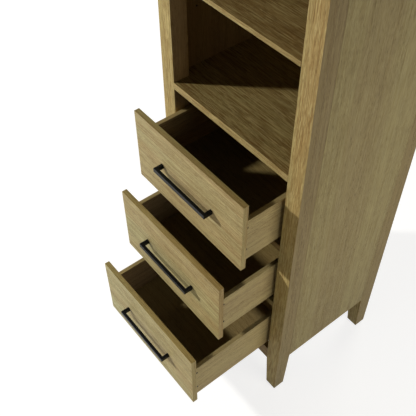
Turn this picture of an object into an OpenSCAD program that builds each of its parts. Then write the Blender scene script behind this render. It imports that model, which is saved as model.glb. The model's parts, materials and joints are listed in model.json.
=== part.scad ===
// Bathroom storage tower: four tapered posts, side panels, an open bay with an adjustable shelf
// over three inset drawers on concealed runners. Millimetres, +Z up, the drawers open towards -Y.
// Heights of the carcass are measured from the feet of the posts, which stand on glides.
// The origin is on the floor, under the middle of the tower as it stands with its drawers open.

/* [Overall] */
// Width over the posts
body_w = 508; // [440:1:620]
// Depth over the posts
body_d = 406; // [404:1:520]
// Height over the top, glides included
body_h = 1524; // [1400:1:2000]

/* [Posts] */
// Width of a post, seen from the front
post_w = 47; // [38:1:60]
// Depth of a post, seen from the side
post_d = 48; // [44:1:60]
// Width of a post at its foot
foot_w = 37; // [28:1:38]
// Depth of a post at its foot
foot_d = 38; // [28:1:44]

/* [Panels] */
// Thickness of the side panels
side_t = 20; // [16:1:25]
// Height of the side panels' lower edge
side_bottom = 157; // [120:1:180]
// Thickness of the top
top_t = 20; // [16:1:30]
// Thickness of the back panel
back_t = 6; // [3:1:8]
// Distance from the rear of the posts to the back panel
back_inset = 20; // [20:1:22]
// Depth of the back panel's grooves
back_groove = 8; // [5:1:10]
// Play of a loose panel in its groove, each side
groove_fit = 0.2; // [0.1:0.1:0.4]

/* [Deck and shelf] */
// Height of the deck's upper face
deck_top = 914; // [760:1:1040]
// Thickness of the deck
deck_t = 20; // [18:1:28]
// Thickness of the adjustable shelf
shelf_t = 12; // [10:1:25]
// Play of the adjustable shelf at the posts, the sides and the back
shelf_play = 1; // [0.5:0.5:3]
// Height of the lowest shelf-pin hole
hole_first = 1079; // [1060:1:1100]
// Distance from one shelf-pin hole to the next
hole_pitch = 39; // [25:1:44]
// Number of shelf-pin holes in a row
hole_count = 7; // [4:1:8]
// Which hole, counted from below, carries the shelf
shelf_hole = 4; // [1:1:4]
// Distance of a row of shelf-pin holes from the face of the posts
hole_inset = 96; // [80:1:120]
// Diameter of a shelf pin
pin_d = 5; // [4:0.5:7]
// Length of a shelf pin
pin_l = 18; // [14:1:22]
// Depth of a shelf-pin hole
hole_depth = 10; // [8:1:12]

/* [Rails] */
// Height of a rail between two drawers
rail_h = 20; // [20:1:30]
// Depth of a rail between two drawers
rail_d = 45; // [40:1:60]
// Height of the bottom rails
base_rail_h = 50; // [40:1:70]
// Thickness of the bottom rails
base_rail_t = 20; // [16:1:20]
// Height of the bottom rails' lower edge
base_rail_z = 132; // [100:1:150]

/* [Drawers] */
// How far the upper drawer is open
open_upper = 123; // [0:1:320]
// How far the middle drawer is open
open_middle = 188; // [0:1:320]
// How far the lower drawer is open
open_lower = 277; // [0:1:320]
// Gap round a drawer front
front_gap = 2; // [1.5:0.5:3]
// Thickness of a drawer front
front_t = 15; // [13:1:20]
// Thickness of the box's sides, front and back
box_t = 12; // [10:1:16]
// Room behind a drawer box, up to the back panel
rear_room = 15; // [14:1:80]
// Gap from a box to the posts, each side
box_clear = 10; // [8:1:13]
// How far the box's upper edge lies below the front's
box_drop = 63; // [40:1:80]
// How far the box's lower edge lies above the front's
box_lift = 19; // [18:1:30]
// Thickness of a drawer bottom
bottom_t = 5; // [4:0.5:6]
// Height of a drawer bottom over the box's lower edge
bottom_recess = 13; // [8:0.5:15]
// Depth of the grooves that hold a drawer bottom
bottom_groove = 6; // [4:0.5:7]

/* [Pulls] */
// Length of a bar pull
pull_w = 200; // [120:1:280]
// How far a pull stands out from the front
pull_reach = 26; // [22:1:40]
// Depth of the bar
bar_d = 9; // [7:0.5:12]
// Height of the bar
bar_h = 12; // [7:0.5:14]
// Width of a pull's legs
leg_w = 8; // [8:0.5:14]
// How far a pull sits above the middle of its front
pull_lift = 4.5; // [0:0.5:20]

/* [Runners] */
// Sheet thickness of the runner members
sheet_t = 1.5; // [1:0.1:1.5]
// Width of the cabinet member's channel
channel_w = 22; // [22:0.5:26]
// Gap between the box's side and the channel
channel_gap = 2; // [1.5:0.5:4]
// Depth of the cabinet member below the box's lower edge
runner_drop = 12; // [10:0.5:13]
// Running gap between two runner members
run_gap = 0.3; // [0.2:0.05:0.3]
// Height of the cabinet member's flange over the box's lower edge
flange_h = 26; // [20:1:40]
// Gap from the box front to the runner
runner_gap = 1; // [0.5:0.5:3]
// How far the cabinet member reaches back past a shut drawer
runner_tail = 13; // [0:1:13]
// Height of a runner cleat
cleat_h = 40; // [36:1:60]

/* [Fasteners and feet] */
// Diameter of a wood screw
screw_d = 4; // [3:0.1:4]
// Diameter of a wood screw's head
screw_head_d = 8; // [6:0.1:9]
// Length of a wood screw
screw_l = 22; // [18:1:24]
// Diameter of a pull's machine screw
bolt_d = 4; // [3:0.5:5]
// Depth of the screw hole in a pull's leg
bolt_grip = 8; // [6:0.5:9]
// Diameter of a dowel
dowel_d = 8; // [6:0.5:8]
// Length of a dowel
dowel_l = 30; // [24:1:30]
// Play of a screw or dowel in its hole, over the diameter
hole_play = 0.1; // [0.05:0.05:0.2]
// Diameter of a foot glide
glide_d = 24; // [18:1:26]
// Height of a foot glide
glide_t = 3; // [2:0.5:8]

/* [Hidden] */
FRONTS = ["upper", "middle", "lower"];
PIECES = ["front", "box_front", "side_left", "side_right", "back", "bottom", "pull", "pull_screws",
          "box_screws", "cabinet_runners", "middle_runners", "drawer_runners"];

open_by = [open_upper, open_middle, open_lower];
pull_front = open_lower + pull_reach;
centre_y = (body_d - pull_front) / 2;    // middle of the tower as it stands, drawers and all
post_top = body_h - glide_t - top_t;

oak = "burlywood";
oak_light = "wheat";
steel = "silver";
black = "dimgray";
pin_steel = "gainsboro";
cut = 1;                 // how far a cutting shape runs past the face it cuts
round_fn = 48;

// The bays: three equal ones between the bottom rail and the deck
base_rail_top = base_rail_z + base_rail_h;
bay_h = (deck_top - deck_t - base_rail_top - 2 * rail_h) / 3;
function bay_z(i) = base_rail_top + (2 - i) * (bay_h + rail_h);

// A drawer's front and box, seen from the front
inner_w = body_w - 2 * post_w;
front_w = inner_w - 2 * front_gap;
front_h = bay_h - 2 * front_gap;
function front_z(i) = bay_z(i) + front_gap;
box_x = post_w + box_clear;
box_w = inner_w - 2 * box_clear;
box_h = front_h - box_drop - box_lift;
function box_z(i) = front_z(i) + box_lift;

// Places along Y with the drawer shut
back_y = body_d - back_inset - back_t;   // front face of the back panel
panel_l = body_d - 2 * post_d;           // side panel, between the posts
box_y = front_t;
box_l = back_y - rear_room - box_y;
box_inner_y = box_y + box_t;
runner_y = box_inner_y + runner_gap;
runner_l = box_y + box_l + runner_tail - runner_y;

// Runner section, in steps inwards from the post's inner face and up from the box's lower edge
channel_u = box_clear + box_t + channel_gap;
lip = 1.5;
channel_rise = 3;                        // channel's top over the box's lower edge
channel_wall_h = runner_drop + channel_rise;
middle_u = channel_u + sheet_t + run_gap;
middle_w = channel_w - 2 * sheet_t - 2 * run_gap;
middle_z = -runner_drop + run_gap;
middle_top = channel_rise - sheet_t - run_gap;
rider_u = middle_u + sheet_t + run_gap;
rider_w = middle_w - 2 * sheet_t - 2 * run_gap;
rider_z = middle_z + sheet_t + run_gap;

// Screw places, heights over the box's lower edge
box_screw_low = 37;
box_screw_drop = 24;                     // of the upper screw, below the box's upper edge
box_screw_z = [box_screw_low, box_h - box_screw_drop];
fix_screw_x = 130;                       // either side of the middle
fix_screw_inset = 30;
fix_screw_z = [fix_screw_inset, box_h - fix_screw_inset];
runner_screw_z = 10;
runner_screw_inset = 10;                 // from the ends of the runner
runner_screw_y = [runner_y + runner_screw_inset, runner_y + runner_l / 2,
                  runner_y + runner_l - runner_screw_inset];
runner_screw_l = 15;
countersink = 2;
pan_h = 1.2;
pan_d = 2 * screw_d;
bolt_head_d = 2 * bolt_d;
bolt_head_h = 0.7 * bolt_d;
pull_x = [(body_w - pull_w + leg_w) / 2, (body_w + pull_w - leg_w) / 2];
function pull_z(i) = front_z(i) + front_h / 2 + pull_lift;

// Turns from +Z to +X, and from +Z to -Y
ALONG_X = [0, 90, 0];
ALONG_Y = [90, 0, 0];
ALONG_Z = [0, 0, 0];

// Dowels, each as [middle, turn]
rail_margin = 12;                        // from a rail's edges to its dowels
side_margin = 60;                        // from a side panel's ends to its outer dowels
deck_margin = 90;                        // from the tower's front and rear to the deck's outer dowels
top_spread = 80;                         // either side of the middle
side_span = post_top - side_bottom - 2 * side_margin;
side_dowel_z = [for (k = [0:3]) side_bottom + side_margin + k * side_span / 3];
rail_dowels = [for (x = [post_w, body_w - post_w], z = [bay_z(0), bay_z(1)],
                    y = [rail_margin, rail_d - rail_margin])
    [[x, y, z - rail_h / 2], ALONG_X]];
base_dowels = [for (x = [post_w, body_w - post_w], z = [rail_margin, base_rail_h - rail_margin],
                    y = [base_rail_t / 2, body_d - base_rail_t / 2])
    [[x, y, base_rail_z + z], ALONG_X]];
side_dowels = [for (x = [side_t / 2, body_w - side_t / 2], y = [post_d, body_d - post_d], z = side_dowel_z)
    [[x, y, z], ALONG_Y]];
deck_dowel_x = side_t / 2 + dowel_l / 2;
deck_dowels = [for (x = [deck_dowel_x, body_w - deck_dowel_x],
                    y = [deck_margin, body_d / 2, body_d - deck_margin])
    [[x, y, deck_top - deck_t / 2], ALONG_X]];
top_dowel_z = post_top + top_t / 2 - dowel_l / 2;
top_dowels = concat(
    [for (x = [post_w / 2, body_w - post_w / 2], y = [post_d / 2, body_d - post_d / 2])
        [[x, y, top_dowel_z], ALONG_Z]],
    [for (x = [side_t / 2, body_w - side_t / 2], y = [body_d / 2 - top_spread, body_d / 2 + top_spread])
        [[x, y, top_dowel_z], ALONG_Z]]);

// ---- helpers ----

// Puts a piece from the front left corner of the posts' feet into the tower's own frame
module placed() translate([-body_w / 2, -centre_y, glide_t]) children();

module both_sides() {
    children();
    right_side() children();
}

module right_side() translate([body_w, 0, 0]) mirror([1, 0, 0]) children();

// A section drawn in X and Z, run along Y
module along_y(start, length)
    translate([0, start + length, 0]) rotate([90, 0, 0]) linear_extrude(length) children();

// A section drawn in Y and Z, run along X
module along_x(start, length)
    translate([start, 0, 0]) rotate([90, 0, 90]) linear_extrude(length) children();

module round_bar(d, l) cylinder(d = d, h = l, $fn = round_fn);

module dowel_set(places, d, l)
    for (p = places)
        translate(p[0]) rotate(p[1]) translate([0, 0, -l / 2]) round_bar(d, l);

module dowel_holes(places) dowel_set(places, dowel_d + hole_play, dowel_l + cut);

// A countersunk wood screw along +Z, its head flush at z = 0. Its hole starts a little above that, as wide
// there as the cone of the head would be.
module wood_screw(l, play = 0) {
    flare = play * (screw_head_d - screw_d) / countersink;
    translate([0, 0, -play]) round_bar(screw_d + play, l + 2 * play);
    translate([0, 0, -play])
        cylinder(d1 = screw_head_d + play + flare, d2 = screw_d + play, h = countersink + play, $fn = round_fn);
}

// ---- carcass ----

// Front left post: straight outside, tapered on its two inner faces below the rail and the panel
module post_blank() {
    intersection() {
        along_y(0, post_d)
            polygon([[0, 0], [foot_w, 0], [post_w, base_rail_z], [post_w, post_top], [0, post_top]]);
        along_x(0, post_w)
            polygon([[0, 0], [foot_d, 0], [post_d, side_bottom], [post_d, post_top], [0, post_top]]);
    }
}

module rear() translate([0, body_d, 0]) mirror([0, 1, 0]) children();

module post_holes() {
    dowel_holes(rail_dowels);
    dowel_holes(base_dowels);
    dowel_holes(side_dowels);
    dowel_holes(top_dowels);
    runner_screw_set(hole_play);
}

module post_front(right = false) color(oak) placed() difference() {
    if (right) right_side() post_blank(); else post_blank();
    post_holes();
}

module post_rear(right = false) color(oak) placed() difference() {
    if (right) right_side() rear() post_blank(); else rear() post_blank();
    post_holes();
    back_slot();
}

// The room that the back panel takes in the rear posts
module back_slot()
    translate([post_w - back_groove, back_y - groove_fit, base_rail_z - groove_fit])
        cube([inner_w + 2 * back_groove, back_t + 2 * groove_fit, post_top]);

module side_panel(right = false) color(oak) placed() difference() {
    if (right) right_side() side_blank(); else side_blank();
    dowel_holes(side_dowels);
    dowel_holes(deck_dowels);
    dowel_holes(top_dowels);
}

module side_blank() difference() {
    translate([0, post_d, side_bottom]) cube([side_t, panel_l, post_top - side_bottom]);
    for (k = [0:hole_count - 1], y = [hole_inset, body_d - hole_inset])
        translate([side_t - hole_depth, y, hole_first + k * hole_pitch])
            rotate(ALONG_X) round_bar(pin_d + hole_play, hole_depth + cut);
}

module back_panel() color(oak_light) placed()
    translate([post_w - back_groove + groove_fit, back_y, base_rail_z])
        cube([inner_w + 2 * (back_groove - groove_fit), back_t, post_top - base_rail_z]);

module top_panel() color(oak) placed() difference() {
    translate([0, 0, post_top]) cube([body_w, body_d, top_t]);
    dowel_holes(top_dowels);
}

// A board that fills the plan between the side panels and is notched round the four posts
module notched_board(z, t, play) difference() {
    translate([side_t + play, 0, z]) cube([body_w - 2 * (side_t + play), back_y - play, t]);
    both_sides() {
        translate([-cut, -cut, z - cut]) cube([post_w + play + cut, post_d + play + cut, t + 2 * cut]);
        translate([-cut, body_d - post_d - play, z - cut])
            cube([post_w + play + cut, post_d + play, t + 2 * cut]);
    }
}

module deck() color(oak) placed() difference() {
    notched_board(deck_top - deck_t, deck_t, 0);
    dowel_holes(deck_dowels);
}

shelf_z = hole_first + (shelf_hole - 1) * hole_pitch + pin_d / 2;

module adjustable_shelf() color(oak) placed() notched_board(shelf_z, shelf_t, shelf_play);

module shelf_pins() color(pin_steel) placed()
    both_sides()
        for (y = [hole_inset, body_d - hole_inset])
            translate([side_t - hole_depth, y, shelf_z - pin_d / 2]) rotate(ALONG_X) round_bar(pin_d, pin_l);

module rail(z) color(oak) placed() difference() {
    translate([post_w, 0, z - rail_h]) cube([inner_w, rail_d, rail_h]);
    dowel_holes(rail_dowels);
}

module base_rail(y) color(oak) placed() difference() {
    translate([post_w, y, base_rail_z]) cube([inner_w, base_rail_t, base_rail_h]);
    dowel_holes(base_dowels);
}

// Fills the step between the post and the side panel, so that a runner has one flat face
module cleat_blank(i) difference() {
    translate([side_t, post_d, box_z(i) - runner_drop - sheet_t])
        cube([post_w - side_t, panel_l, cleat_h]);
    runner_screw_set(hole_play);
}

module cleat(i, right = false) color(oak_light) placed()
    if (right) right_side() cleat_blank(i); else cleat_blank(i);

module dowels() color(oak_light) placed()
    dowel_set(concat(rail_dowels, base_dowels, side_dowels, deck_dowels, top_dowels), dowel_d, dowel_l);

// Pan-head screws through the cabinet members' flanges
module runner_screw_set(play = 0)
    both_sides()
        for (i = [0:2], y = runner_screw_y)
            translate([post_w + sheet_t + pan_h, y, box_z(i) + runner_screw_z]) rotate(-ALONG_X) {
                translate([0, 0, pan_h]) round_bar(screw_d + play, runner_screw_l + sheet_t + play);
                round_bar(pan_d, pan_h);
            }

module runner_screws() color(steel) placed() runner_screw_set();

module foot_glides() color(black) placed()
    for (x = [foot_w / 2, body_w - foot_w / 2], y = [foot_d / 2, body_d - foot_d / 2])
        translate([x, y, -glide_t]) round_bar(glide_d, glide_t);

// ---- drawers, drawn shut and then moved out ----

module drawn_out(i, share = 1) placed() translate([0, -share * open_by[i], 0]) children();

// Screws that join the box's corners, and screws from inside that hold the front
module box_screw_set(i, play = 0) {
    both_sides()
        for (y = [box_y + box_t / 2, box_y + box_l - box_t / 2], z = box_screw_z)
            translate([box_x, y, box_z(i) + z]) rotate(ALONG_X) wood_screw(screw_l, play);
    for (x = [-fix_screw_x, fix_screw_x], z = fix_screw_z)
        translate([body_w / 2 + x, box_inner_y, box_z(i) + z]) rotate(ALONG_Y) wood_screw(screw_l, play);
}

// Machine screws from inside the box front into the pull's legs
module pull_screw_set(i, play = 0)
    for (x = pull_x)
        translate([x, box_inner_y, pull_z(i)]) rotate(ALONG_Y) {
            round_bar(bolt_d + play, box_inner_y + bolt_grip + play);
            translate([0, 0, -bolt_head_h]) round_bar(bolt_head_d, bolt_head_h);
        }

module drawer_front(i) color(oak) drawn_out(i) difference() {
    translate([post_w + front_gap, 0, front_z(i)]) cube([front_w, front_t, front_h]);
    box_screw_set(i, hole_play);
    pull_screw_set(i, hole_play);
}

module bottom_slab(i, fit)
    translate([box_x + box_t - bottom_groove, box_inner_y - bottom_groove,
               box_z(i) + bottom_recess - fit])
        cube([box_w - 2 * (box_t - bottom_groove), box_l - box_t + bottom_groove, bottom_t + 2 * fit]);

module drawer_bottom(i) color(oak_light) drawn_out(i) intersection() {
    bottom_slab(i, 0);
    translate([box_x + box_t - bottom_groove + groove_fit, box_inner_y - bottom_groove + groove_fit, 0])
        cube([box_w - 2 * (box_t - bottom_groove + groove_fit), box_l, post_top]);
}

module box_front(i) color(oak_light) drawn_out(i) difference() {
    translate([box_x + box_t, box_y, box_z(i)]) cube([box_w - 2 * box_t, box_t, box_h]);
    bottom_slab(i, groove_fit);
    box_screw_set(i, hole_play);
    pull_screw_set(i, hole_play);
}

// Stands on the drawer bottom, so that it passes over the cabinet runners
module box_back(i) color(oak_light) drawn_out(i) difference() {
    translate([box_x + box_t, box_y + box_l - box_t, box_z(i) + bottom_recess + bottom_t])
        cube([box_w - 2 * box_t, box_t, box_h - bottom_recess - bottom_t]);
    box_screw_set(i, hole_play);
}

module box_side_blank(i) translate([box_x, box_y, box_z(i)]) cube([box_t, box_l, box_h]);

module box_side(i, right = false) color(oak) drawn_out(i) difference() {
    if (right) right_side() box_side_blank(i); else box_side_blank(i);
    bottom_slab(i, groove_fit);
    box_screw_set(i, hole_play);
}

module box_screws(i) color(black) drawn_out(i) box_screw_set(i);

module pull(i) color(black) drawn_out(i) difference() {
    translate([(body_w - pull_w) / 2, 0, pull_z(i) - bar_h / 2]) {
        translate([0, -pull_reach, 0]) cube([pull_w, bar_d, bar_h]);
        for (x = [0, pull_w - leg_w]) translate([x, -pull_reach, 0]) cube([leg_w, pull_reach, bar_h]);
    }
    pull_screw_set(i, hole_play);
}

module pull_screws(i) color(steel) drawn_out(i) pull_screw_set(i);

// ---- runners ----

// Flange on the posts and cleat, a web under the box's side, and a channel with lips
module cabinet_section() {
    translate([0, -runner_drop - sheet_t]) {
        square([sheet_t, runner_drop + sheet_t + flange_h]);
        square([channel_u + channel_w, sheet_t]);
    }
    for (side = [0, 1])
        translate([channel_u + side * channel_w, -runner_drop]) mirror([side, 0]) {
            square([sheet_t, channel_wall_h]);
            translate([0, channel_wall_h - sheet_t]) square([sheet_t + lip, sheet_t]);
        }
}

module cabinet_runners(i) color(steel) placed() difference() {
    both_sides()
        translate([post_w, 0, box_z(i)]) along_y(runner_y, runner_l) cabinet_section();
    runner_screw_set(hole_play);
}

// A channel that runs inside the cabinet member's
module middle_section() {
    translate([middle_u, middle_z]) square([middle_w, sheet_t]);
    for (u = [middle_u, middle_u + middle_w - sheet_t])
        translate([u, middle_z]) square([sheet_t, middle_top - middle_z]);
}

module middle_runners(i) color(steel) drawn_out(i, 1 / 2)
    both_sides() translate([post_w, 0, box_z(i)]) along_y(runner_y, runner_l) middle_section();

// A hat-shaped rider: its legs run in the middle member, its flat top carries the drawer bottom
module rider_section() {
    translate([channel_u, bottom_recess - sheet_t]) square([channel_w, sheet_t]);
    for (u = [rider_u, rider_u + rider_w - sheet_t])
        translate([u, rider_z]) square([sheet_t, bottom_recess - rider_z]);
}

module drawer_runners(i) color(steel) drawn_out(i)
    both_sides()
        translate([post_w, 0, box_z(i)])
            along_y(runner_y, box_y + box_l - runner_y) rider_section();

// ---- the tower ----

post_front();  // post_front_left
post_front(right = true);  // post_front_right
post_rear();  // post_rear_left
post_rear(right = true);  // post_rear_right
side_panel();  // side_panel_left
side_panel(right = true);  // side_panel_right
back_panel();
top_panel();
deck();
adjustable_shelf();
shelf_pins();
rail(bay_z(0));  // rail_upper
rail(bay_z(1));  // rail_lower
base_rail(0);  // rail_bottom
base_rail(body_d - base_rail_t);  // rail_rear
dowels();
runner_screws();
foot_glides();
for (i = [0:2]) {
    drawer = str("drawer_", FRONTS[i], "_");
    cleat(i);
    cleat(i, right = true);
    drawer_front(i);
    box_front(i);
    box_side(i);
    box_side(i, right = true);
    box_back(i);
    drawer_bottom(i);
    pull(i);
    pull_screws(i);
    box_screws(i);
    cabinet_runners(i);
    middle_runners(i);
    drawer_runners(i);
}
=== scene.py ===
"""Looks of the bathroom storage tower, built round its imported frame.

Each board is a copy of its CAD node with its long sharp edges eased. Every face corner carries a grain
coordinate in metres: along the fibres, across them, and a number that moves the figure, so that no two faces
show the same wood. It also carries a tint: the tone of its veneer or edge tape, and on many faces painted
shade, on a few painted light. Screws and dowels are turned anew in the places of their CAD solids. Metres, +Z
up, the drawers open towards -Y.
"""

import json
import math
import random

import bmesh
import bpy
from mathutils import Matrix, Vector

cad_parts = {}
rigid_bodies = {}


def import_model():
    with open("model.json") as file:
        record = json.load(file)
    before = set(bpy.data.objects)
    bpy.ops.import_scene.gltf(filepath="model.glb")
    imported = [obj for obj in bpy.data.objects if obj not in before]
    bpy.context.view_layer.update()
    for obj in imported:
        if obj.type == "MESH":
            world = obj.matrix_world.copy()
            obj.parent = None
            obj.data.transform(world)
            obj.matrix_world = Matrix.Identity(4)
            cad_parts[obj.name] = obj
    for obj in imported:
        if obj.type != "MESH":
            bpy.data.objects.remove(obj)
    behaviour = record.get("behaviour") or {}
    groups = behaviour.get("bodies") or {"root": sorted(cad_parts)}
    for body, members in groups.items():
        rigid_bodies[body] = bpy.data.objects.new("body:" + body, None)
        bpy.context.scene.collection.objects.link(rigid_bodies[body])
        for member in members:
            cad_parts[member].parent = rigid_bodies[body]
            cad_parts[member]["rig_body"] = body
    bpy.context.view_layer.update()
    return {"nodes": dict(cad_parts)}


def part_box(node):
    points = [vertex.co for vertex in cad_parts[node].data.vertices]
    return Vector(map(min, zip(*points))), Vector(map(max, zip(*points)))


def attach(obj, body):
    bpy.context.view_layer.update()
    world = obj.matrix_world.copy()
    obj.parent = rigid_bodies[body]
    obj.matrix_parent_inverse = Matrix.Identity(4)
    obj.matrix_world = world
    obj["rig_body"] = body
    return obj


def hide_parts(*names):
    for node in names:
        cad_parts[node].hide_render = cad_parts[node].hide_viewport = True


MM = 0.001
X, Y, Z = 0, 1, 2
WHITE = (1, 1, 1, 1)

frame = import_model()
bpy.context.scene.view_settings.view_transform = "Standard"


# ---- camera and lamps ----

# Fitted to the straight edges in the photograph: metres, degrees, and pixels of the square picture
CAMERA_PLACE = Vector((0.89523, -0.81022, 1.94938))
CAMERA_AZIMUTH, CAMERA_ELEVATION, CAMERA_ROLL = 51.95, 48.32, -0.53
FOCAL_PX, FRAME_PX = 669.35, 416
SENSOR = 36.0                       # mm
WARM_LIGHT = (1.0, 0.96, 0.85)


def make_camera():
    azimuth, elevation, roll = (math.radians(a) for a in (CAMERA_AZIMUTH, CAMERA_ELEVATION, CAMERA_ROLL))
    ahead = Vector((-math.sin(azimuth) * math.cos(elevation), math.cos(azimuth) * math.cos(elevation),
                    -math.sin(elevation)))
    level = Vector((math.cos(azimuth), math.sin(azimuth), 0))
    above = level.cross(ahead)
    right = level * math.cos(roll) + above * math.sin(roll)
    up = above * math.cos(roll) - level * math.sin(roll)
    data = bpy.data.cameras.new("camera")
    data.sensor_width = SENSOR
    data.lens = FOCAL_PX / FRAME_PX * SENSOR
    camera = bpy.data.objects.new("camera", data)
    matrix = Matrix((right, up, -ahead)).transposed().to_4x4()
    matrix.translation = CAMERA_PLACE
    camera.matrix_world = matrix
    bpy.context.scene.collection.objects.link(camera)
    bpy.context.scene.camera = camera


def lamp(name, place, target, size, watts, height=None, colour=(1, 1, 1)):
    """A round lamp, or one with square corners if it has a height. The camera doesn't see it."""
    data = bpy.data.lights.new(name, "AREA")
    data.shape = "RECTANGLE" if height else "DISK"
    data.size, data.energy, data.color = size, watts, colour
    if height:
        data.size_y = height
    lamp_object = bpy.data.objects.new(name, data)
    place, target = Vector(place), Vector(target)
    lamp_object.location = place
    lamp_object.rotation_mode = "QUATERNION"
    lamp_object.rotation_quaternion = (target - place).to_track_quat("-Z", "Y")
    lamp_object.visible_camera = False
    bpy.context.scene.collection.objects.link(lamp_object)


def make_lamps():
    """A small key lamp from the front left for the sharp shadows, and wide weak ones for the shade."""
    lamp("key", place=(-2.724, -2.621, 2.593), target=(-0.004, -0.052, 0.603), size=0.25, watts=144)
    lamp("front_fill", place=(0.3, -5.0, 0.9), target=(0, 0, 0.7), size=2.4, watts=38, height=1.2,
         colour=WARM_LIGHT)
    lamp("side_fill", place=(1.9, 0.33, 0.84), target=(0.25, 0.1, 0.82), size=1.3, watts=13.7, height=0.8)
    lamp("rear_fill", place=(-1.2, 4.2, 1.6), target=(0, 0.2, 0.7), size=2.0, watts=60, height=1.6)


# ---- node trees ----

MIX_SHARE, MIX_A, MIX_B, MIX_RESULT = 0, 6, 7, 2    # sockets of a Mix node for colours


def srgb(*levels):
    """A colour given as 0 to 255 levels, as Blender's linear colour."""
    shares = [v / 255 for v in levels]
    return tuple(s / 12.92 if s <= 0.04045 else ((s + 0.055) / 1.055) ** 2.4 for s in shares) + (1.0,)


class Nodes:
    """A node tree, and short ways to add nodes to it."""

    def __init__(self, tree):
        self.nodes, self.links = tree.nodes, tree.links

    def put(self, socket, value):
        """Links a socket to another, or sets it to a constant."""
        if isinstance(value, bpy.types.NodeSocket):
            self.links.new(value, socket)
        else:
            socket.default_value = value

    def add(self, kind, inputs=(), **settings):
        """A new node. inputs holds what goes into its sockets, by their names or numbers."""
        node = self.nodes.new(kind)
        for name, value in settings.items():
            setattr(node, name, value)
        for key, value in dict(inputs).items():
            self.put(node.inputs[key], value)
        return node

    def place(self):
        return self.add("ShaderNodeTexCoord").outputs["Object"]

    def math(self, operation, a, b=0.0):
        return self.add("ShaderNodeMath", {0: a, 1: b}, operation=operation).outputs[0]

    def stretch(self, vector, factors):
        return self.add("ShaderNodeVectorMath", {0: vector, 1: factors}, operation="MULTIPLY").outputs[0]

    def noise(self, vector, detail=2.0, roughness=0.5, scale=1.0):
        inputs = {"Vector": vector, "Scale": scale, "Detail": detail, "Roughness": roughness}
        return self.add("ShaderNodeTexNoise", inputs).outputs["Fac"]

    def layer(self, vector, along, across, apart=1.0, detail=2.0, roughness=0.5):
        """Noise of so many waves to the metre along and across. apart keeps layers from lining up."""
        return self.noise(self.stretch(vector, (along, across, apart)), detail, roughness)

    def spread(self, value, over, to=(0.0, 1.0)):
        """value over one range, as another range, clamped and smooth."""
        inputs = {"Value": value, "From Min": over[0], "From Max": over[1], "To Min": to[0], "To Max": to[1]}
        return self.add("ShaderNodeMapRange", inputs, interpolation_type="SMOOTHSTEP").outputs[0]

    def mix(self, share, a, b, blend="MIX"):
        inputs = {MIX_SHARE: share, MIX_A: a, MIX_B: b}
        return self.add("ShaderNodeMix", inputs, data_type="RGBA", blend_type=blend).outputs[MIX_RESULT]


class Surface(Nodes):
    """The node tree of a new material, with its shader."""

    def __init__(self, name):
        self.material = bpy.data.materials.new(name)
        self.material.use_nodes = True
        super().__init__(self.material.node_tree)
        self.shader = self.nodes["Principled BSDF"]

    def bump(self, height, strength, distance):
        inputs = {"Strength": strength, "Distance": distance, "Height": height}
        self.put(self.shader.inputs["Normal"], self.add("ShaderNodeBump", inputs).outputs[0])

    def finish(self, **inputs):
        """Fills the shader's sockets, whose names have _ for a space here."""
        for name, value in inputs.items():
            self.put(self.shader.inputs[name.replace("_", " ")], value)
        return self.material


# ---- wood ----

GRAIN, TINT = "grain", "tint"       # what the corners of a board's faces carry
WOOD_SPECULAR = 0.14
MIDDLE = 0.5                        # of a noise's levels
MOST = (0.3, 0.7)                   # the levels between which most of a noise lies

# The levels of its noise over which each layer of the figure comes up
STREAKS_UP = (0.48, 0.70)
DARK_FLECKS_UP = (0.47, 0.60)
PALE_FLECKS_UP = (0.51, 0.62)
DASHES_UP = (0.56, 0.61)
PORES_GATHER = (0.38, 0.56)         # of the noise of the streaks
FIBRES_UP = (0.25, 0.75)

# What the layers do: factors on the colour, the share of pores outside and inside the streaks, the roughness
FIBRE_SHADE = (0.90, 1.08)
MOTTLE_SHADE = (0.95, 1.04)
PORE_SHARE = (0.35, 1.0)
WOOD_ROUGHNESS = (0.52, 0.64)

# The cut ends
PITH_ACROSS, PITH_DOWN = 0.045, 0.06    # how far below 0 the pith lies in the grain coordinate, in metres
RING_WIDTH = 3.2 * MM
RING_BEND = 3 * MM
END_RINGS_UP = (-0.6, 0.9)          # of a sine
END_SPECKS_UP = (0.5, 0.7)
END_SHOWS = (0.0, 0.6)              # how much rings and specks show
END_ROUGHNESS = 0.75


def carried(t):
    """The grain coordinate and the tint that a board's mesh carries."""
    grain = t.add("ShaderNodeAttribute", attribute_name=GRAIN).outputs["Vector"]
    tint = t.add("ShaderNodeAttribute", attribute_name=TINT).outputs["Color"]
    return grain, tint


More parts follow.
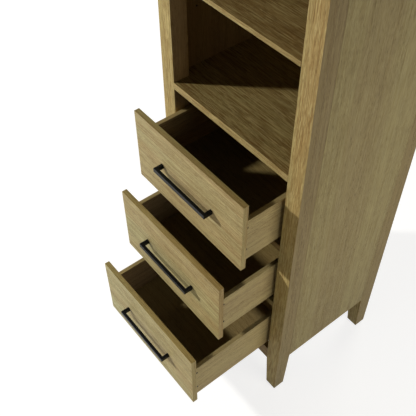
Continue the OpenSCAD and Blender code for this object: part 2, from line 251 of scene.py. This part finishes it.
def wood(name, pale, warm, streak, light, pore, wander=0.004, pores=0.7, streaks=0.6, flecks=0.6,
         bands=(1.0, 62), leaves=(0.6, 12), leaf_edge=0.14, run=9):
    """Veneer or solid wood, from five colours.

    wander is how far the grain wanders sideways, in metres. pores, streaks and flecks say how much those
    show. bands are the streaks to the metre, along and across the grain. leaves are the same for the broad
    change from pale to warm, and leaf_edge says how soft that is. run is the flecks to the metre along the
    grain.
    """
    t = Surface(name)
    grain, tint = carried(t)
    drift = t.layer(grain, along=1.6, across=4.0)
    sideways = t.math("MULTIPLY", t.math("SUBTRACT", drift, MIDDLE), 2 * wander)
    offset = t.add("ShaderNodeCombineXYZ", {"Y": sideways}).outputs[0]
    line = t.add("ShaderNodeVectorMath", {0: grain, 1: offset}, operation="ADD").outputs[0]

    broad = t.layer(line, *leaves)
    rings = t.layer(line, *bands, apart=3.0, detail=3.0, roughness=0.6)
    pale_flecks = t.layer(line, along=run, across=310, apart=5.0, detail=3.0, roughness=0.66)
    dark_flecks = t.layer(line, along=1.2 * run, across=370, apart=11.0, detail=3.0, roughness=0.66)
    mottle = t.layer(line, along=16, across=55, apart=13.0, roughness=0.55)
    fibre = t.layer(line, along=12, across=1300, apart=7.0, roughness=0.6)
    dashes = t.layer(line, along=55, across=1800, apart=9.0, detail=1.0)

    colour = t.mix(t.spread(broad, (MIDDLE - leaf_edge, MIDDLE + leaf_edge)), pale, warm)
    colour = t.mix(t.spread(rings, STREAKS_UP, (0.0, streaks)), colour, streak)
    colour = t.mix(t.spread(dark_flecks, DARK_FLECKS_UP, (0.0, flecks)), colour, streak)
    colour = t.mix(t.spread(pale_flecks, PALE_FLECKS_UP, (0.0, flecks)), colour, light)
    fibre_shade, mottle_shade = t.spread(fibre, FIBRES_UP, FIBRE_SHADE), t.spread(mottle, MOST, MOTTLE_SHADE)
    shade = t.math("MULTIPLY", fibre_shade, mottle_shade)
    shade_colour = t.add("ShaderNodeCombineColor", {"Red": shade, "Green": shade, "Blue": shade}).outputs[0]
    colour = t.mix(1.0, colour, shade_colour, "MULTIPLY")
    gathered = t.spread(rings, PORES_GATHER, PORE_SHARE)
    open_pores = t.math("MULTIPLY", t.spread(dashes, DASHES_UP), gathered)
    colour = t.mix(t.math("MULTIPLY", open_pores, pores), colour, pore)
    # The tint: the veneer's or tape's tone, and on many faces painted shade, on a few painted light
    colour = t.mix(1.0, colour, tint, "MULTIPLY")
    roughness = t.spread(dark_flecks, MOST, WOOD_ROUGHNESS)
    height = t.math("SUBTRACT", t.math("MULTIPLY", fibre, 0.5), open_pores)
    t.bump(height, strength=0.4, distance=0.14 * MM)
    return t.finish(Base_Color=colour, Roughness=roughness, Specular_IOR_Level=WOOD_SPECULAR)


def end_grain(name, pale, dark):
    """The cut ends of solid wood: growth rings round a pith that lies off the piece. On a dowel they are
    arcs. On a board, whose figure is moved far from 0, they are nearly straight."""
    t = Surface(name)
    grain, tint = carried(t)
    bend = t.layer(grain, along=60, across=60)
    parts = t.add("ShaderNodeSeparateXYZ", {0: grain}).outputs
    across = t.math("ADD", parts["X"], PITH_ACROSS)
    down = t.math("ADD", parts["Y"], PITH_DOWN)
    square = t.math("ADD", t.math("MULTIPLY", across, across), t.math("MULTIPLY", down, down))
    far = t.math("ADD", t.math("SQRT", square), t.math("MULTIPLY", bend, RING_BEND))
    rings = t.math("SINE", t.math("MULTIPLY", far, 2 * math.pi / RING_WIDTH))
    specks = t.layer(grain, along=1600, across=1600)
    colour = t.mix(t.spread(rings, END_RINGS_UP, END_SHOWS), pale, dark)
    colour = t.mix(t.spread(specks, END_SPECKS_UP, END_SHOWS), colour, dark)
    colour = t.mix(1.0, colour, tint, "MULTIPLY")
    t.bump(specks, strength=0.3, distance=0.1 * MM)
    return t.finish(Base_Color=colour, Roughness=END_ROUGHNESS, Specular_IOR_Level=WOOD_SPECULAR)


# Each wood's five colours: pale, warm, streak, light and pore
OAK_PORE = srgb(104, 82, 48)
OAK_COLOURS = (srgb(184, 172, 126), srgb(178, 155, 110), srgb(144, 116, 74), srgb(205, 190, 145), OAK_PORE)
PANEL_COLOURS = (srgb(177, 162, 119), srgb(171, 154, 114), srgb(146, 125, 84), srgb(191, 177, 133), OAK_PORE)
PINE_COLOURS = (srgb(190, 164, 116), srgb(182, 150, 100), srgb(156, 118, 70), srgb(204, 182, 136),
                srgb(130, 98, 60))
OAK = wood("oak", *OAK_COLOURS, streaks=0.45, flecks=0.55)
OAK_FIBROUS = wood("oak_fibrous", *OAK_COLOURS, streaks=0.55, flecks=1.0, run=16)
OAK_STREAKED = wood("oak_streaked", *OAK_COLOURS, streaks=0.4, flecks=0.7, bands=(1.2, 190), run=18)
OAK_CALM = wood("oak_calm", *PANEL_COLOURS, streaks=0.35, flecks=0.35, bands=(0.8, 90))
OAK_PANEL = wood("oak_panel", *PANEL_COLOURS, wander=0.002, streaks=0.35, flecks=0.4, bands=(0.4, 50),
                 leaves=(0.25, 10), leaf_edge=0.05)
OAK_END = end_grain("oak_end", srgb(158, 136, 94), srgb(112, 88, 54))
PINE = wood("pine", *PINE_COLOURS, wander=0.005, pores=0.15, streaks=0.8, flecks=0.25)
PINE_END = end_grain("pine_end", srgb(176, 146, 98), srgb(136, 100, 58))

# Each board's wood: its faces, and its ends where those are solid
PLAIN, STREAKED, FIBROUS = (OAK, OAK_END), (OAK_STREAKED, OAK_END), (OAK_FIBROUS, OAK_END)
CALM, LEAVED, SOFTWOOD = (OAK_CALM, OAK_END), (OAK_PANEL, OAK_END), (PINE, PINE_END)


# ---- metal and plastic ----

# The levels of noise over which coat wears, plate dulls and plastic is scuffed
WORN_UP, DULL_UP, SCUFFED_UP = (0.35, 0.7), (0.35, 0.65), (0.55, 0.75)
MOST_SCUFFS = (0.3, 0.8)
COAT_ROUGHNESS, PLASTIC_ROUGHNESS = (0.26, 0.34), (0.45, 0.65)
COAT_SPECULAR = 0.1
DRAWN = (900, 25, 900)              # drawing lines to the metre along X, Y and Z


def painted_metal(name, colour, worn):
    """Powder coat: a fine orange peel over an even dark colour."""
    t = Surface(name)
    place = t.place()
    peel = t.noise(place, roughness=0.55, scale=1400)
    clouds = t.noise(place, detail=3.0, scale=35)
    t.bump(peel, strength=0.25, distance=0.05 * MM)
    shade = t.mix(t.spread(clouds, WORN_UP), colour, worn)
    roughness = t.spread(clouds, MOST, COAT_ROUGHNESS)
    return t.finish(Base_Color=shade, Roughness=roughness, Specular_IOR_Level=COAT_SPECULAR)


def plated(name, colour, dull, roughness, grit, metal=1.0):
    """Zinc, nickel or dark plate, with soft cloudy spots and fine drawing lines. metal is below 1 for a haze.
    grit is how far its roughness varies."""
    t = Surface(name)
    place = t.place()
    spots = t.noise(place, detail=3.0, roughness=0.6, scale=90)
    drawn = t.noise(t.stretch(place, DRAWN))
    t.bump(drawn, strength=0.1, distance=0.03 * MM)
    tone = t.mix(t.spread(spots, DULL_UP), colour, dull)
    rough = t.math("ADD", t.spread(spots, MOST, (roughness - grit, roughness + grit)),
                   t.spread(drawn, MOST, (0.0, grit)))
    return t.finish(Base_Color=tone, Roughness=rough, Metallic=metal)


def plastic(name, colour, worn):
    """Moulded plastic with a fine pebbled skin and scuffs."""
    t = Surface(name)
    place = t.place()
    pebbles = t.noise(place, scale=2200)
    scuffs = t.noise(place, detail=4.0, roughness=0.7, scale=120)
    t.bump(pebbles, strength=0.3, distance=0.05 * MM)
    shade = t.mix(t.spread(scuffs, SCUFFED_UP), colour, worn)
    return t.finish(Base_Color=shade, Roughness=t.spread(scuffs, MOST_SCUFFS, PLASTIC_ROUGHNESS))


BLACK = painted_metal("black_coat", srgb(6, 7, 8), srgb(11, 12, 13))
ZINC = plated("zinc", srgb(160, 162, 165), srgb(148, 150, 154), roughness=0.5, grit=0.03, metal=0.6)
NICKEL = plated("nickel", srgb(206, 200, 188), srgb(186, 180, 168), roughness=0.24, grit=0.04)
DARK_STEEL = plated("dark_steel", srgb(40, 36, 32), srgb(26, 23, 21), roughness=0.48, grit=0.06)
PLASTIC = plastic("plastic", srgb(24, 24, 25), srgb(44, 44, 44))


# ---- boards and metal parts, from their CAD nodes ----

MERGE = 0.001 * MM                  # points of a CAD mesh that are nearer are one
FLAT = math.radians(1)              # triangles that turn less than this are one face
SHARP = math.radians(35)            # edges that turn more than this are eased
CREASE = math.radians(40)           # edges that turn less than this are smooth
BY_AREA = 100                       # lets large faces set the normals where they meet small ones


def cad_mesh(node):
    """A CAD node's mesh with its triangles joined into flat faces."""
    bm = bmesh.new()
    bm.from_mesh(frame["nodes"][node].data)
    bmesh.ops.remove_doubles(bm, verts=bm.verts, dist=MERGE)
    bmesh.ops.dissolve_limit(bm, angle_limit=FLAT, verts=bm.verts, edges=bm.edges)
    return bm


def ease(bm, width, shortest, segments=2):
    """Rounds each outward edge that is sharp and at least shortest long."""
    edges = [e for e in bm.edges if len(e.link_faces) == 2 and e.is_convex
             and e.calc_face_angle() > SHARP and e.calc_length() >= shortest]
    bmesh.ops.bevel(bm, geom=edges, offset=width, offset_type="OFFSET", segments=segments, profile=0.5,
                    affect="EDGES", clamp_overlap=True)


def piece_from(bm, node, name, materials):
    """Makes bm the piece that stands for a CAD node, with flat faces flat and eased edges smooth."""
    mesh = bpy.data.meshes.new(name)
    for face in bm.faces:
        face.smooth = True
    for edge in bm.edges:
        edge.smooth = len(edge.link_faces) != 2 or edge.calc_face_angle() < CREASE
    bm.to_mesh(mesh)
    bm.free()
    for material in materials:
        mesh.materials.append(material)
    piece = bpy.data.objects.new(name, mesh)
    bpy.context.scene.collection.objects.link(piece)
    flat = piece.modifiers.new("flat_faces", "WEIGHTED_NORMAL")
    flat.keep_sharp = True
    flat.weight = BY_AREA
    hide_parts(node)
    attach(piece, frame["nodes"][node]["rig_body"])
    return piece


SHORTEST = 4.0                      # an edge of a board that is shorter stays sharp, in mm
BORE_AREA = 60.0                    # no face of a drilled hole is larger, in square mm
BORE_DEPTH = 1.0                    # a face of a drilled hole lies deeper than this in its board, in mm
BORE_SHADE = (0.28, 0.22, 0.15)           # painted shade in drilled holes, over the raw wood's darker tone
NARROW, FINE_EDGE = 30.0, 2.5       # faces narrower than this, in mm, have this much finer streaks
NO_FADE = (0, 0, 0)

# The numbers that boards draw to move their figure, and how far it moves by board and by face, in metres
FIGURES = (0, 40)
ALONG_BY_BOARD, ACROSS_BY_FACE, APART_BY_FACE = 3.1, 1.7, 0.37

# What boards draw for their tone: warmer or cooler, and a factor on all of it
WARMTH, VALUE = (-0.015, 0.015), (0.97, 1.03)

WAYS = ("left", "right", "front", "rear", "under", "top")      # -X, +X, -Y, +Y, -Z and +Z
FACE_WOOD, END_WOOD, CALM_WOOD = 0, 1, 2                       # a board's material slots


def toned(plain, **faces):
    """The tint of each of a board's six ways: the tone of veneers and edge tapes, and on some faces painted
    shade and painted light.
    """
    return [faces.get(way, plain) for way in WAYS]


UNTINTED = toned((1, 1, 1))


def is_bored(face, facing, low, high):
    """Whether a face is part of a drilled hole: small, and well inside the board's box the way it faces."""
    place = face.calc_center_median()[facing]
    deep = min(place - low[facing], high[facing] - place) > BORE_DEPTH * MM
    return face.calc_area() < BORE_AREA * MM**2 and deep


def give_grain(bm, axis, low, high, shift, tones, ends_solid, calm, fade):
    """Writes each face corner's grain coordinate and tint. Faces across the grain are end grain on solid
    wood, and are banded lengthwise on a veneered board. calm names the ways that have a quieter veneer. fade
    is how far red, green and blue change from left to right."""
    grain = bm.loops.layers.float_vector.new(GRAIN)
    colour = bm.loops.layers.float_color.new(TINT)
    span = high - low
    for face in bm.faces:
        normal = face.normal
        facing = max((X, Y, Z), key=lambda k: abs(normal[k]))
        side = 2 * facing + (normal[facing] > 0)
        along = axis
        face.material_index = CALM_WOOD if WAYS[side] in calm else FACE_WOOD
        if facing == axis:
            along = max((k for k in (X, Y, Z) if k != facing), key=lambda k: span[k])
            if ends_solid:
                face.material_index = END_WOOD
        across = X + Y + Z - facing - along
        fine = FINE_EDGE if span[across] < NARROW * MM else 1.0
        # Drilled holes get painted shade
        tint = BORE_SHADE if is_bored(face, facing, low, high) else tones[side]
        for loop in face.loops:
            corner = loop.vert.co
            lengthwise = corner[along] - low[along] + ALONG_BY_BOARD * shift
            sideways = fine * (corner[across] - low[across]) + ACROSS_BY_FACE * side
            loop[grain] = (lengthwise, sideways, shift + APART_BY_FACE * side)
            share = (corner[X] - low[X]) / span[X] - 0.5
            loop[colour] = (*(level * (1 + share * change) for level, change in zip(tint, fade)), 1.0)


def board(node, axis, edge=0.8, tones=UNTINTED, woods=PLAIN, solid_ends=False, calm=(),
          fade=NO_FADE):
    """A board whose grain runs along axis, with its edges rounded over edge mm."""
    low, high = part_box(node)
    bm = cad_mesh(node)
    ease(bm, edge * MM, SHORTEST * MM)
    choice = random.Random(node)
    shift = choice.uniform(*FIGURES)
    warmth, value = choice.uniform(*WARMTH), choice.uniform(*VALUE)
    drift = (value * (1 + warmth), value, value * (1 - 2 * warmth))
    tones = [[c * d for c, d in zip(tone, drift)] for tone in tones]
    give_grain(bm, axis, low, high, shift, tones, solid_ends, calm, fade)
    return piece_from(bm, node, node + "_wood", [*woods, OAK_CALM])


def hardware(node, material, edge, shortest=0.0, segments=2):
    """A metal or plastic part with its edges rounded over edge mm, apart from those below shortest mm."""
    bm = cad_mesh(node)
    ease(bm, edge * MM, shortest * MM, segments)
    return piece_from(bm, node, node + "_part", [material])


# ---- turned parts: screws and dowels ----

SAME = 0.01 * MM                    # lengths that differ by less are the same


class Turned:
    """Where one turned CAD solid lies: the middle of its head, the way it points, and its sizes."""

    def __init__(self, points):
        low = Vector([min(p[k] for p in points) for k in (X, Y, Z)])
        high = Vector([max(p[k] for p in points) for k in (X, Y, Z)])
        span = high - low
        middle_span = sorted(span)[1]
        axis = max((X, Y, Z), key=lambda k: abs(span[k] - middle_span))
        centre = (low + high) / 2

        def radius(p):
            return (Vector([p[k] - centre[k] if k != axis else 0 for k in (X, Y, Z)])).length

        def reach(end):
            return max(radius(p) for p in points if abs(p[axis] - end) < SAME)

        head_end, tip_end = low[axis], high[axis]
        if reach(head_end) < reach(tip_end):
            head_end, tip_end = tip_end, head_end
        self.head_r, self.shank_r, self.length = reach(head_end), reach(tip_end), span[axis]
        self.head_h = min(abs(p[axis] - head_end) for p in points if radius(p) < self.shank_r + SAME)
        ahead = Vector([0, 0, 0])
        ahead[axis] = math.copysign(1, tip_end - head_end)
        place = centre.copy()
        place[axis] = head_end
        self.matrix = Matrix.Translation(place) @ ahead.to_track_quat("Z", "Y").to_matrix().to_4x4()


def turned_solids(node):
    """Each separate solid of a CAD node."""
    bm = cad_mesh(node)
    seen, found = set(), []
    for start in bm.verts:
        if start in seen:
            continue
        seen.add(start)
        front, points = [start], []
        while front:
            vert = front.pop()
            points.append(vert.co.copy())
            for edge in vert.link_edges:
                other = edge.other_vert(vert)
                if other not in seen:
                    seen.add(other)
                    front.append(other)
        found.append(Turned(points))
    bm.free()
    return found


def ring(bm, z, radius, count):
    """A ring of points round Z. radius is a number, or gives one for a share of the turn."""
    points = []
    for k in range(count):
        angle = 2 * math.pi * k / count
        r = radius(k / count) if callable(radius) else radius
        points.append(bm.verts.new((r * math.cos(angle), r * math.sin(angle), z)))
    return points


def skin(bm, rings):
    """Joins each ring of points to the next with faces."""
    for one, two in zip(rings, rings[1:]):
        for k in range(len(one)):
            bm.faces.new((one[k], one[k - 1], two[k - 1], two[k]))


# A cross recess, as shares of its arm at the face: half its width there, its arm at the floor, half its width
# at the floor
CROSS_HALF, CROSS_FLOOR_ARM, CROSS_FLOOR_HALF = 0.24, 0.5, 0.2


def cross_outline(bm, z, arm, half):
    """The twelve corners of a cross round Z."""
    places = []
    for k in range(4):
        turn = Matrix.Rotation(k * math.pi / 2, 3, "Z")
        places += [turn @ Vector(p) for p in ((arm, -half, z), (arm, half, z), (half, half, z))]
    return [bm.verts.new(p) for p in places]


def cut_cross(bm, rim, arm, depth):
    """Closes a screw's head at 0 with a flat that holds a cross recess."""
    outer = cross_outline(bm, 0.0, arm, CROSS_HALF * arm)
    inner = cross_outline(bm, depth, CROSS_FLOOR_ARM * arm, CROSS_FLOOR_HALF * arm)
    loops = [bm.edges.get((a, b)) or bm.edges.new((a, b)) for points in (rim, outer)
             for a, b in zip(points, points[1:] + points[:1])]
    bmesh.ops.triangle_fill(bm, edges=loops, use_beauty=True, normal=(0, 0, -1))
    skin(bm, [outer, inner])
    bm.faces.new(inner)


SCREW_SIDES = 16
DOME_FLAT = 0.6                     # the flat middle of a pan head, as a share of the head's radius
DOME_TURNS = (0, 30, 60, 90)        # degrees
DOME_RISE, DOME_SKIRT = 0.75, 0.95  # where its dome and its straight skirt end, as shares of its height
RIM_BEVEL, RIM_H = 0.15, 0.1        # a countersunk head's rim, in mm
NECK_R, NECK_L = 0.9, 0.12          # the neck, as shares of the shank's radius and of the screw's length
NECK_STEP = 0.2                     # from the head to the neck, in mm
ROOT_R = 0.72                       # the thread's root, as a share of the shank's radius
POINT_L, POINT_R = 1.6, 0.12        # a point's length and end, as shares of the shank's radius
BLUNT_L, BLUNT_R = 0.4, 0.85        # a blunt end's length in mm, and its radius as a share of the root's
RINGS_PER_TURN = 4
CROSS_ARM, CROSS_DEPTH = 0.62, 0.55  # the recess, as shares of the head's flat radius and of its height
DEEPEST_HEAD = 2.0                  # a head counts as no higher than this, in mm, for the recess


def head_outline(part, domed):
    """The radius and depth of each turn of a screw's head, from its flat face to its widest place."""
    if not domed:
        return [(part.head_r - RIM_BEVEL * MM, 0.0), (part.head_r, RIM_H * MM)]
    flat = DOME_FLAT * part.head_r
    turns = [math.radians(a) for a in DOME_TURNS]
    dome = [(flat + (part.head_r - flat) * math.sin(a), DOME_RISE * part.head_h * (1 - math.cos(a)))
            for a in turns]
    return dome + [(part.head_r, DOME_SKIRT * part.head_h)]


def screw_template(part, pitch, domed, pointed):
    """One screw along Z, its head's face at 0, inside its CAD solid: head, neck, thread and tip."""
    bm = bmesh.new()
    shank_r, head_h = part.shank_r, part.head_h
    neck_end = head_h + NECK_L * part.length
    neck = [(shank_r, head_h), (NECK_R * shank_r, head_h + NECK_STEP * MM), (NECK_R * shank_r, neck_end)]
    outline = head_outline(part, domed) + neck
    rings = [ring(bm, z, r, SCREW_SIDES) for r, z in outline]
    root = ROOT_R * shank_r
    tip_l = POINT_L * shank_r if pointed else BLUNT_L * MM
    threaded = part.length - tip_l - neck_end
    steps = int(threaded / pitch * RINGS_PER_TURN)
    for k in range(1, steps + 1):
        z = neck_end + k * threaded / steps

        def thread(turn, z=z):
            phase = (z / pitch - turn) % 1
            return root + (shank_r - root) * abs(2 * phase - 1)

        rings.append(ring(bm, z, thread, SCREW_SIDES))
    end_r = POINT_R * shank_r if pointed else BLUNT_R * root
    rings.append(ring(bm, part.length, end_r, SCREW_SIDES))
    skin(bm, rings)
    bm.faces.new(rings[-1])
    flat_r = outline[0][0]
    cut_cross(bm, rings[0], CROSS_ARM * flat_r, CROSS_DEPTH * min(head_h, DEEPEST_HEAD * MM))
    return bm


def screws(node, material, pitch, domed, pointed):
    """All the screws of a CAD node as one piece. pitch is their thread's, in mm."""
    parts = turned_solids(node)
    template = screw_template(parts[0], pitch * MM, domed, pointed)
    bmesh.ops.recalc_face_normals(template, faces=template.faces)
    mesh = bpy.data.meshes.new(node + "_one")
    template.to_mesh(mesh)
    template.free()
    bm = bmesh.new()
    for part in parts:
        first = len(bm.verts)
        bm.from_mesh(mesh)
        bm.verts.ensure_lookup_table()
        bmesh.ops.transform(bm, matrix=part.matrix, verts=bm.verts[first:])
    bpy.data.meshes.remove(mesh)
    bm.normal_update()
    return piece_from(bm, node, node + "_part", [material])


def fluted_dowels(node, flutes=16, flute=0.25, chamfer=1.0):
    """Chamfered dowels with straight flutes for the glue, each with its grain along itself."""
    bm = bmesh.new()
    grain = bm.loops.layers.float_vector.new(GRAIN)
    colour = bm.loops.layers.float_color.new(TINT)
    for number, part in enumerate(turned_solids(node)):
        r, length = part.shank_r, part.length

        def fluted(turn, r=r):
            return r - (flute * MM if round(turn * 2 * flutes) % 2 else 0)

        first_vert, first_face = len(bm.verts), len(bm.faces)
        narrow = r - chamfer * MM
        rings = [ring(bm, 0, narrow, 2 * flutes), ring(bm, chamfer * MM, fluted, 2 * flutes),
                 ring(bm, length - chamfer * MM, fluted, 2 * flutes), ring(bm, length, narrow, 2 * flutes)]
        skin(bm, rings)
        bm.faces.new(rings[0])
        bm.faces.new(reversed(rings[-1]))
        bm.verts.ensure_lookup_table()
        bm.faces.ensure_lookup_table()
        for face in bm.faces[first_face:]:
            is_end = len(face.verts) > 4
            face.material_index = END_WOOD if is_end else FACE_WOOD
            for loop in face.loops:
                x, y, z = loop.vert.co
                loop[grain] = (x, y, number) if is_end else (z, r * math.atan2(y, x), number)
                loop[colour] = WHITE
        bmesh.ops.transform(bm, matrix=part.matrix, verts=bm.verts[first_vert:])
    bmesh.ops.recalc_face_normals(bm, faces=bm.faces)
    return piece_from(bm, node, node + "_wood", SOFTWOOD)


# ---- the tower, piece by piece ----

SIDES = (("left", "right"), ("right", "left"))     # each side, and the way its inner faces look
LEVELS = ("upper", "middle", "lower")

# Tints of the veneers and edge tapes, and of painted shade and painted light: factors on red, green and blue
# Painted shade: the tops and undersides of the shelves, the top panel's underside and the rails, darker than
# their veneer
SHELF_SHADE = (0.62, 0.56, 0.39)
TAPE = (0.90, 0.84, 0.67)
# The edge tape on top faces: partly the tape's own tone, partly painted shade on tops
TOP_TAPE_SHADE = (0.81, 0.75, 0.54)
# Painted shade on the rails' fronts, which lie in the shade between the drawers
RAIL_SHADE = (0.60, 0.53, 0.40)
EDGES = {"deck": (1.0, 0.96, 0.79), "adjustable_shelf": (0.80, 0.77, 0.60)}
END_TAPE = (1.02, 0.99, 0.87)
POST = (0.97, 0.90, 0.70)
POST_SIDE = (0.75, 0.69, 0.57)
POST_INNER = (0.94, 0.79, 0.68)
PANEL = (0.93, 0.90, 0.74)
# Painted shade on the carcass's inner walls: the side panels' inner faces and the back panel's front
INNER_WALL_SHADE = (0.67, 0.57, 0.48)
# The fronts' tone, with the middle and lower fronts painted lighter as painted light
FRONT_TONE_AND_LIGHT = {"upper": (0.97, 0.98, 0.94), "middle": (0.98, 1.02, 0.98), "lower": (1.08, 1.16, 1.17)}
FRONT_FADE = (-0.02, -0.10, -0.20)
# The drawer sides' outer faces, brightened as painted light, more on the middle and lower drawers
BOX_SIDE_LIGHT = {"upper": (1.13, 1.07, 0.92), "middle": (1.25, 1.18, 1.01), "lower": (1.25, 1.18, 1.02)}
# Painted shade on the drawers' inner faces
BOX_INSIDE_SHADE = (0.57, 0.48, 0.39)
# Painted shade on each drawer's left side inside, deeper in the middle and lower drawers
INNER_LEFT_SHADE = {"upper": (0.80, 0.68, 0.54), "middle": (0.54, 0.45, 0.38), "lower": (0.45, 0.37, 0.31)}
# Painted shade on the drawer bottoms
BOTTOM_SHADE = {"upper": (0.62, 0.56, 0.39), "middle": (0.66, 0.59, 0.41), "lower": (0.71, 0.63, 0.46)}


def make_side(side, inner):
    """One side of the tower: two posts, the panel between them, and the cleats behind the runners."""
    for end in ("front", "rear"):
        tones = toned(POST, **{side: POST_SIDE, inner: POST_INNER})
        board(f"post_{end}_{side}", Z, edge=1.0, tones=tones, woods=STREAKED, solid_ends=True,
              calm=("left", "right"))
    # The panel's inner face gets painted shade
    board(f"side_panel_{side}", Z, edge=0.5, tones=toned(PANEL, **{inner: INNER_WALL_SHADE}), woods=LEAVED)
    for level in LEVELS:
        board(f"cleat_{level}_{side}", Y, woods=SOFTWOOD, solid_ends=True)


def make_shelves():
    """The back and top panels, the deck and the shelf, and the rails."""
    board("back_panel", Z, edge=0.3, tones=toned(PANEL, front=INNER_WALL_SHADE), woods=LEAVED)
    # Tops and undersides get painted shade, and so do the rails
    board("top_panel", X, edge=1.0, tones=toned(TAPE, under=SHELF_SHADE))
    for shelf in ("deck", "adjustable_shelf"):
        board(shelf, X, tones=toned(EDGES[shelf], top=SHELF_SHADE, under=SHELF_SHADE), woods=FIBROUS)
    for rail in ("rail_upper", "rail_lower", "rail_bottom", "rail_rear"):
        board(rail, X, edge=0.5, tones=toned(SHELF_SHADE, front=RAIL_SHADE))


def make_drawer(level):
    """A drawer with its pull, its screws and its runners."""
    drawer = f"drawer_{level}_"
    # The box's inner faces and bottom get painted shade, its outer sides and its front painted light
    front_tones = toned(FRONT_TONE_AND_LIGHT[level], top=TOP_TAPE_SHADE, left=END_TAPE, right=END_TAPE)
    cross_tones = toned(BOX_INSIDE_SHADE, top=TOP_TAPE_SHADE)
    left_tones = toned(BOX_SIDE_LIGHT[level], top=TAPE, right=INNER_LEFT_SHADE[level])
    right_tones = toned(BOX_SIDE_LIGHT[level], top=TAPE, left=BOX_INSIDE_SHADE)
    board(drawer + "front", X, tones=front_tones, fade=FRONT_FADE)
    board(drawer + "box_front", X, edge=0.4, tones=cross_tones)
    board(drawer + "back", X, edge=0.4, tones=cross_tones)
    board(drawer + "side_left", Y, edge=0.6, tones=left_tones, woods=CALM)
    board(drawer + "side_right", Y, edge=0.6, tones=right_tones, woods=CALM)
    board(drawer + "bottom", X, edge=0.2, tones=toned(BOTTOM_SHADE[level]), woods=CALM)
    hardware(drawer + "pull", BLACK, edge=0.7, shortest=1.5, segments=3)
    for members in ("cabinet_runners", "middle_runners", "drawer_runners"):
        hardware(drawer + members, ZINC, edge=0.3, shortest=2.0)
    screws(drawer + "pull_screws", ZINC, pitch=0.7, domed=True, pointed=False)
    screws(drawer + "box_screws", DARK_STEEL, pitch=1.8, domed=False, pointed=True)


def make_fittings():
    """The carcass's screws, dowels, shelf pins and glides."""
    screws("runner_screws", ZINC, pitch=1.8, domed=True, pointed=True)
    fluted_dowels("dowels")
    hardware("shelf_pins", NICKEL, edge=0.5)
    hardware("foot_glides", PLASTIC, edge=0.8)


# ---- the stage ----

FLOOR_COLOUR = srgb(176, 174, 168)
FLOOR_HALF = 30.0
FLOOR_ROUGHNESS = 0.9
AMBIENT = 0.008                     # what the world gives to matt surfaces
GLOW_FROM, GLOW_TO = 1.0, 4.0       # metres from the tower over which the floor rises to white
NEAR_GLOW, FAR_GLOW = 0.78, 1.0     # what is added there to the floor that cameras and mirrors see


def seen_share(t):
    """1 for camera, mirror and glass rays, and else 0."""
    path = t.add("ShaderNodeLightPath").outputs
    share = t.math("MAXIMUM", path["Is Camera Ray"], path["Is Glossy Ray"])
    return t.math("MAXIMUM", share, path["Is Transmission Ray"])


def make_floor():
    """A pale floor. What camera, mirror and glass rays see of it is lifted to white away from the tower."""
    mesh = bpy.data.meshes.new("floor")
    corners = [(x * FLOOR_HALF, y * FLOOR_HALF, 0) for x, y in ((-1, -1), (1, -1), (1, 1), (-1, 1))]
    mesh.from_pydata(corners, [], [(0, 1, 2, 3)])
    floor = bpy.data.objects.new("floor", mesh)
    bpy.context.scene.collection.objects.link(floor)
    t = Surface("floor")
    far = t.add("ShaderNodeVectorMath", {0: t.place()}, operation="LENGTH").outputs["Value"]
    rise = t.spread(far, (GLOW_FROM, GLOW_TO), (NEAR_GLOW, FAR_GLOW))
    mesh.materials.append(t.finish(
        Base_Color=FLOOR_COLOUR, Roughness=FLOOR_ROUGHNESS, Specular_IOR_Level=0.0,
        Emission_Color=WHITE, Emission_Strength=t.math("MULTIPLY", seen_share(t), rise)))


def make_world():
    """White to camera, mirror and glass rays, and almost dark to the rest."""
    world = bpy.data.worlds.new("world")
    bpy.context.scene.world = world
    world.use_nodes = True
    t = Nodes(world.node_tree)
    level = t.add("ShaderNodeMapRange", {"Value": seen_share(t), "To Min": AMBIENT, "To Max": 1.0})
    background = t.nodes["Background"]
    t.put(background.inputs["Color"], WHITE)
    t.put(background.inputs["Strength"], level.outputs[0])


for side, inner in SIDES:
    make_side(side, inner)
make_shelves()
for level in LEVELS:
    make_drawer(level)
make_fittings()
make_floor()
make_world()
make_lamps()
make_camera()
